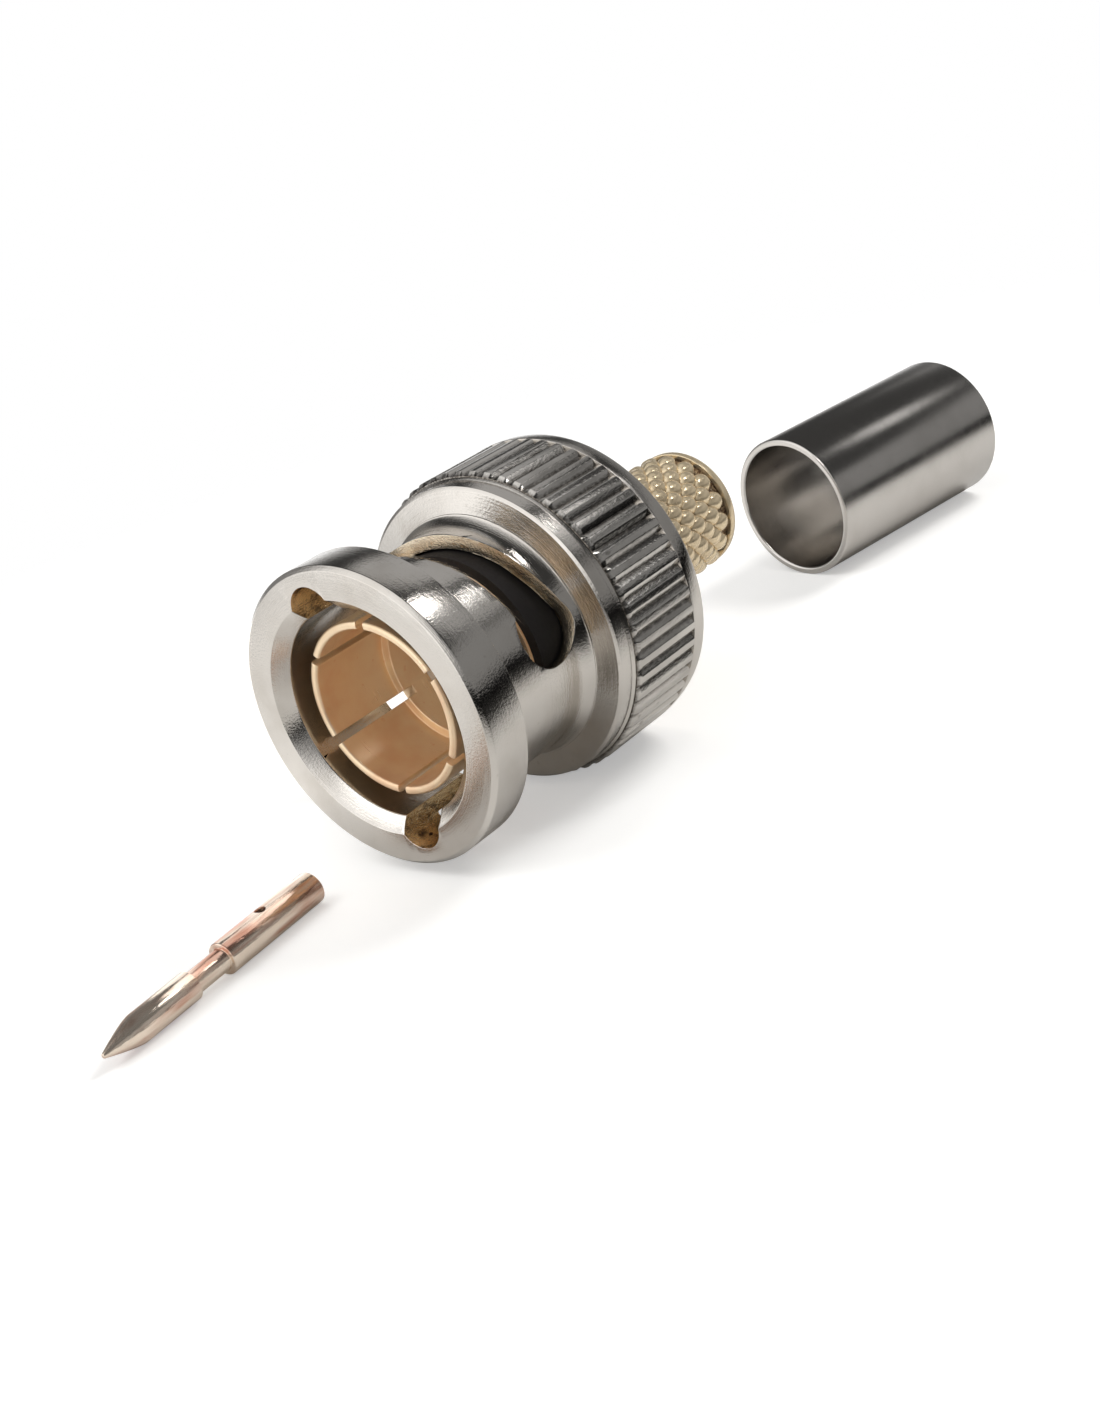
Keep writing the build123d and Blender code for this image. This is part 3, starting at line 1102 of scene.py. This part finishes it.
nickel = metalMaterial("bright nickel", looks["nickel"])
cutNickel = metalMaterial("cut nickel with painted gold reflection", looks["cutNickel"])
grooveGold = metalMaterial("groove painted glints and shade", looks["grooveGold"])
knurledNickel = metalMaterial("knurled nickel with painted valley shade", looks["knurledNickel"])
satinNickel = metalMaterial(
    "satin nickel", looks["satinNickel"], inMetres(ferrule["place"]), ferrule["heading"]
)
gold = metalMaterial("gold plate", looks["gold"])
knurledGold = metalMaterial("knurled gold plate", looks["knurledGold"])
pinGold = metalMaterial("pin gold", looks["roseGold"], inMetres(pin["place"]), pin["heading"])
springSteel = metalMaterial("spring steel", looks["springSteel"])
insulatorWhite = plainMaterial("white insulator", looks["insulator"])
blackRubber = plainMaterial("black rubber", looks["rubber"])
print("materials made")

buildNut(nickel, cutNickel, grooveGold, knurledNickel)
buildSleeve(gold)
buildStem(knurledGold)
buildPin(pinGold)
buildFerrule(satinNickel)
rearWasher = washers["seat"] + washers["height"] + washers["gap"]
buildWaveWasher("frontWaveWasher", "wave_washer_front", washers["seat"], 0, springSteel)
buildWaveWasher("rearWaveWasher", "wave_washer_rear", rearWasher, 180 / washers["waves"], springSteel)

for node, material in (
    ("insulator", insulatorWhite),
    ("face_gasket", blackRubber),
    ("thrust_washer", springSteel),
    ("retaining_ring", springSteel),
):
    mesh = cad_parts[node].data
    mesh.materials.clear()
    mesh.materials.append(material)
print("pieces finished")


# Floor, light and camera

stage = {
    "floorHeight": surfaceHeight,
    "floorCentre": (0, 14, 0),
    "floorRadius": 400.0,
    "floorSides": 64,
    "floorRoughness": 0.9,
    "floorGloss": 0.1,
    "paleRadius": 45.0,
    "fadeRadius": 85.0,
    "floorColour": (0.8, 0.79, 0.77),
    "floorGlow": 0.38,
    "floorMirrored": 0.95,
    "mirroredGlow": 0.34,
    "mirroredGlowStart": -2.0,
    "mirroredGlowEnd": -14.0,
    "darkFloor": 0.03,
    "darkFloorStart": 12.0,
    "darkFloorEnd": 30.0,
    "plainSky": 0.38,
    "baseLevels": ((0.0, 0.22), (0.1, 0.25), (0.4, 0.27), (0.52, 0.03), (1.0, 0.05)),
    "paleSide": 0.8,
    "sideLimits": (-0.2, 0.4),
    "horizonLimits": (-0.03, 0.03),
    "darkSide": 0.05,
    "patches": (
        {"towards": (28, 43), "half": 5, "edge": 3, "level": 0.85},
        {"towards": (-40, 20), "half": 12, "edge": 6, "level": -0.22},
        {"towards": (-50, 2), "half": 10, "edge": 8, "level": 0.35},
        {"towards": (200, 30), "half": 40, "edge": 20, "level": 1.2},
    ),
    "lamps": (
        {
            "towards": (30, 45),
            "from": (0, 14, 0),
            "distance": 260,
            "size": 120,
            "power": 0.38,
            "mirrored": False,
        },
        {
            "towards": (215, 55),
            "from": (0, 14, 0),
            "distance": 260,
            "size": 160,
            "power": 0.18,
            "mirrored": False,
        },
        {
            "towards": (-15, 44),
            "from": (0, 2, 6),
            "distance": 35,
            "size": 25,
            "power": 0.00062,
            "mirrored": True,
        },
        {
            "towards": (32, 40),
            "from": (4, 2, 5),
            "distance": 40,
            "size": 23,
            "power": 0.00045,
            "mirrored": True,
        },
        {
            "towards": (-5, 50),
            "from": (-2.2, -10, -7),
            "distance": 10,
            "size": 8,
            "power": 0.00016,
            "mirrored": True,
        },
        {
            "towards": (90, 63),
            "from": (0, 19, 0),
            "distance": 34,
            "size": 8,
            "power": 0.0012,
            "mirrored": True,
        },
        {
            "towards": (-45, 20),
            "from": (-2, -12, -7),
            "distance": 18,
            "size": 13,
            "power": 0.0004,
            "mirrored": True,
        },
    ),
    "cameraPlace": (58.0166, -47.7678, 26.8612),
    "cameraRight": (0.75302, 0.60471, -0.25938),
    "cameraUp": (-0.04524, 0.44084, 0.89645),
    "cameraForward": (-0.65644, 0.66331, -0.35932),
    "lens": 47.44,
    "sensorWidth": 36,
    "clip": (0.001, 10),
}


def direction(azimuth, elevation):
    # Azimuth from +Y towards +X, both in degrees
    a, e = radians(azimuth), radians(elevation)
    return Vector((sin(a) * cos(e), cos(a) * cos(e), sin(e)))


def buildFloor():
    s = stage
    height = s["floorHeight"]
    cx, cy, _ = s["floorCentre"]
    sides = s["floorSides"]
    ring = [
        (
            cx + s["floorRadius"] * cos(2 * pi * side / sides),
            cy + s["floorRadius"] * sin(2 * pi * side / sides),
            height,
        )
        for side in range(sides)
    ]
    floor = meshObject("floor", ring, [tuple(range(sides))])
    floor.data.transform(Matrix.Scale(millimetre, 4))
    material = bpy.data.materials.new("pale floor")
    material.use_nodes = True
    tree = material.node_tree
    shader = tree.nodes["Principled BSDF"]
    shader.inputs["Base Color"].default_value = (*s["floorColour"], 1)
    shader.inputs["Roughness"].default_value = s["floorRoughness"]
    shader.inputs["Specular IOR Level"].default_value = s["floorGloss"]
    shader.inputs["Emission Color"].default_value = (1, 1, 1, 1)
    path = tree.nodes.new("ShaderNodeLightPath")
    seen = mathNode(tree, "MULTIPLY", path.outputs["Is Camera Ray"], s["floorGlow"])
    coordinates = tree.nodes.new("ShaderNodeTexCoord")
    offset = tree.nodes.new("ShaderNodeVectorMath")
    offset.operation = "DISTANCE"
    offset.inputs[1].default_value = (cx * millimetre, cy * millimetre, height * millimetre)
    tree.links.new(coordinates.outputs["Object"], offset.inputs[0])
    fade = mapped(tree, offset.outputs["Value"], s["paleRadius"] * millimetre, s["fadeRadius"] * millimetre)
    clear = tree.nodes.new("ShaderNodeBsdfTransparent")
    mix = tree.nodes.new("ShaderNodeMixShader")
    output = tree.nodes["Material Output"]
    tree.links.new(fade, mix.inputs[0])
    tree.links.new(shader.outputs[0], mix.inputs[1])
    tree.links.new(clear.outputs[0], mix.inputs[2])
    # The metal mirrors a floor that is paler towards -X and grows dark towards +X
    parts = tree.nodes.new("ShaderNodeSeparateXYZ")
    tree.links.new(coordinates.outputs["Object"], parts.inputs[0])
    start, end = s["mirroredGlowStart"] * millimetre, s["mirroredGlowEnd"] * millimetre
    paler = mapped(tree, parts.outputs[0], end, start, s["mirroredGlow"], 0.0)
    paler = mathNode(tree, "MULTIPLY", paler, path.outputs["Is Glossy Ray"])
    tree.links.new(mathNode(tree, "ADD", seen, paler), shader.inputs["Emission Strength"])
    start, end = s["darkFloorStart"] * millimetre, s["darkFloorEnd"] * millimetre
    dim = mapped(tree, parts.outputs[0], start, end, s["floorMirrored"], s["darkFloor"])
    lost = mathNode(tree, "SUBTRACT", 1.0, dim)
    black = tree.nodes.new("ShaderNodeEmission")
    black.inputs["Strength"].default_value = 0.0
    mirrored = tree.nodes.new("ShaderNodeMixShader")
    tree.links.new(mathNode(tree, "MULTIPLY", lost, path.outputs["Is Glossy Ray"]), mirrored.inputs[0])
    tree.links.new(mix.outputs[0], mirrored.inputs[1])
    tree.links.new(black.outputs[0], mirrored.inputs[2])
    tree.links.new(mirrored.outputs[0], output.inputs["Surface"])
    floor.data.materials.append(material)


def buildSky():
    # Soft studio patches that the metal mirrors, a plain level for soft light, and white behind it all
    s = stage
    world = bpy.data.worlds.new("studio")
    bpy.context.scene.world = world
    world.use_nodes = True
    tree = world.node_tree
    background = tree.nodes["Background"]
    coordinates = tree.nodes.new("ShaderNodeTexCoord")
    towards = coordinates.outputs["Generated"]
    parts = tree.nodes.new("ShaderNodeSeparateXYZ")
    tree.links.new(towards, parts.inputs[0])
    ramp = tree.nodes.new("ShaderNodeValToRGB")
    tree.links.new(parts.outputs[2], ramp.inputs[0])
    stops = ramp.color_ramp.elements
    while len(stops) < len(s["baseLevels"]):
        stops.new(0.5)
    for stop, (height, level) in zip(stops, s["baseLevels"]):
        stop.position = height
        stop.color = (level, level, level, 1)
    sides = mapped(tree, parts.outputs[0], *s["sideLimits"], s["paleSide"], s["darkSide"])
    below = mapped(tree, parts.outputs[2], *s["horizonLimits"])
    total = mixColour(tree, below, sides, ramp.outputs[0])
    for patch in s["patches"]:
        dot = tree.nodes.new("ShaderNodeVectorMath")
        dot.operation = "DOT_PRODUCT"
        tree.links.new(towards, dot.inputs[0])
        dot.inputs[1].default_value = direction(*patch["towards"])
        low = cos(radians(patch["half"] + patch["edge"]))
        high = cos(radians(max(patch["half"] - patch["edge"], 0)))
        glow = mapped(tree, dot.outputs["Value"], low, high, 0.0, patch["level"])
        total = mathNode(tree, "ADD", total, glow)
    total = mathNode(tree, "MAXIMUM", total, s["darkSide"])
    path = tree.nodes.new("ShaderNodeLightPath")
    notMirrored = mathNode(tree, "SUBTRACT", 1.0, path.outputs["Is Glossy Ray"])
    soft = mathNode(tree, "MULTIPLY", notMirrored, s["plainSky"])
    mirrored = mathNode(tree, "MULTIPLY", total, path.outputs["Is Glossy Ray"])
    seen = mathNode(tree, "ADD", soft, mirrored)
    white = mixColour(tree, path.outputs["Is Camera Ray"], seen, (1, 1, 1, 1))
    tree.links.new(white, background.inputs["Color"])


def buildLamps():
    for index, lamp in enumerate(stage["lamps"]):
        light = bpy.data.lights.new(f"soft lamp {index + 1}", "AREA")
        light.shape, light.size, light.energy = "DISK", lamp["size"] * millimetre, lamp["power"]
        made = bpy.data.objects.new(light.name, light)
        bpy.context.scene.collection.objects.link(made)
        way = direction(*lamp["towards"])
        made.location = (way * lamp["distance"] + Vector(lamp["from"])) * millimetre
        made.rotation_euler = way.to_track_quat("Z", "Y").to_euler()
        made.visible_camera, made.visible_glossy = False, lamp["mirrored"]


def buildCamera():
    s = stage
    camera = bpy.data.objects.new("camera", bpy.data.cameras.new("camera"))
    bpy.context.scene.collection.objects.link(camera)
    camera.data.lens, camera.data.sensor_width = s["lens"], s["sensorWidth"]
    camera.data.clip_start, camera.data.clip_end = s["clip"]
    right, up, forward = (Vector(s[key]).normalized() for key in ("cameraRight", "cameraUp", "cameraForward"))
    turn = Matrix((right, up, -forward)).transposed().to_4x4()
    camera.matrix_world = Matrix.Translation(Vector(s["cameraPlace"]) * millimetre) @ turn
    bpy.context.scene.camera = camera


buildFloor()
buildSky()
buildLamps()
buildCamera()
bpy.context.scene.view_settings.view_transform = "Standard"
print("stage made")
